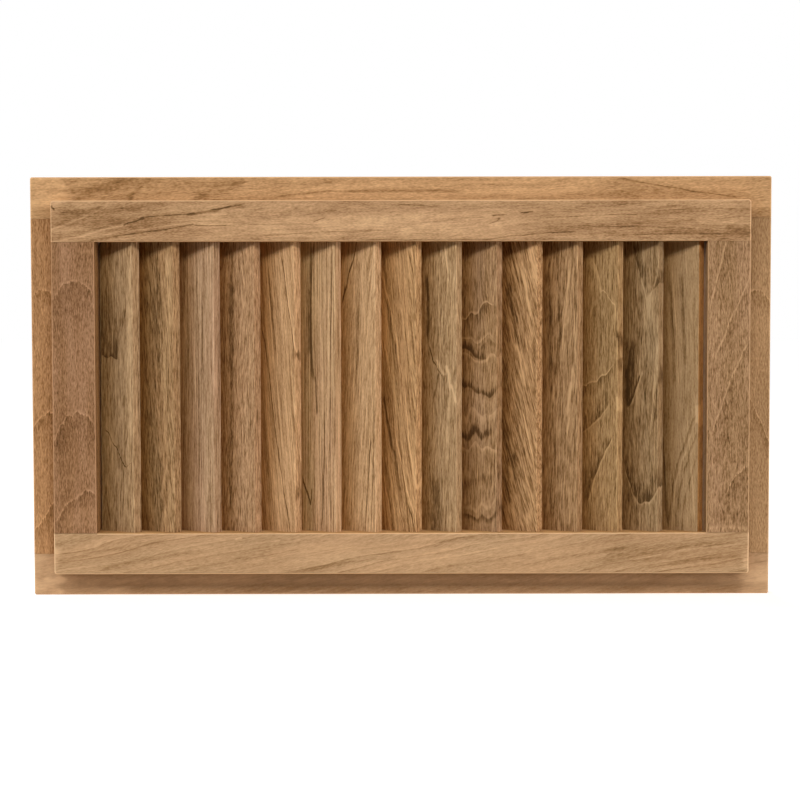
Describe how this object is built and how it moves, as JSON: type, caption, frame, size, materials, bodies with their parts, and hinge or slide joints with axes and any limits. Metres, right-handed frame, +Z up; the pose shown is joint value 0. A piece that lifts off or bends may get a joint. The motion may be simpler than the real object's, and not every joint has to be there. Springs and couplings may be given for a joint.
{
  "type": "louvered vent insert",
  "caption": "Flanged teak vent insert: a rabbeted frame with fixed slanted louvers let into its rails, for a panel cut-out.",
  "frame": {"origin": "centre of the panel, on the plane of the flange's front face, where it seats behind a panel", "axes": "+X along the width, to the right seen from the front; +Z up; the front looks along -Y"},
  "size_m": [0.381, 0.0254, 0.216],
  "materials": {
    "teak_rail": "bare sanded teak",
    "teak_stile": "bare sanded teak",
    "teak_louver": "bare sanded teak"
  },
  "bodies": {
    "root": {"top_rail": "teak_rail", "bottom_rail": "teak_rail", "left_stile": "teak_stile", "right_stile": "teak_stile", "louver_01": "teak_louver", "louver_02": "teak_louver", "louver_03": "teak_louver", "louver_04": "teak_louver", "louver_05": "teak_louver", "louver_06": "teak_louver", "louver_07": "teak_louver", "louver_08": "teak_louver", "louver_09": "teak_louver", "louver_10": "teak_louver", "louver_11": "teak_louver", "louver_12": "teak_louver", "louver_13": "teak_louver", "louver_14": "teak_louver", "louver_15": "teak_louver"}
  },
  "joints": []
}
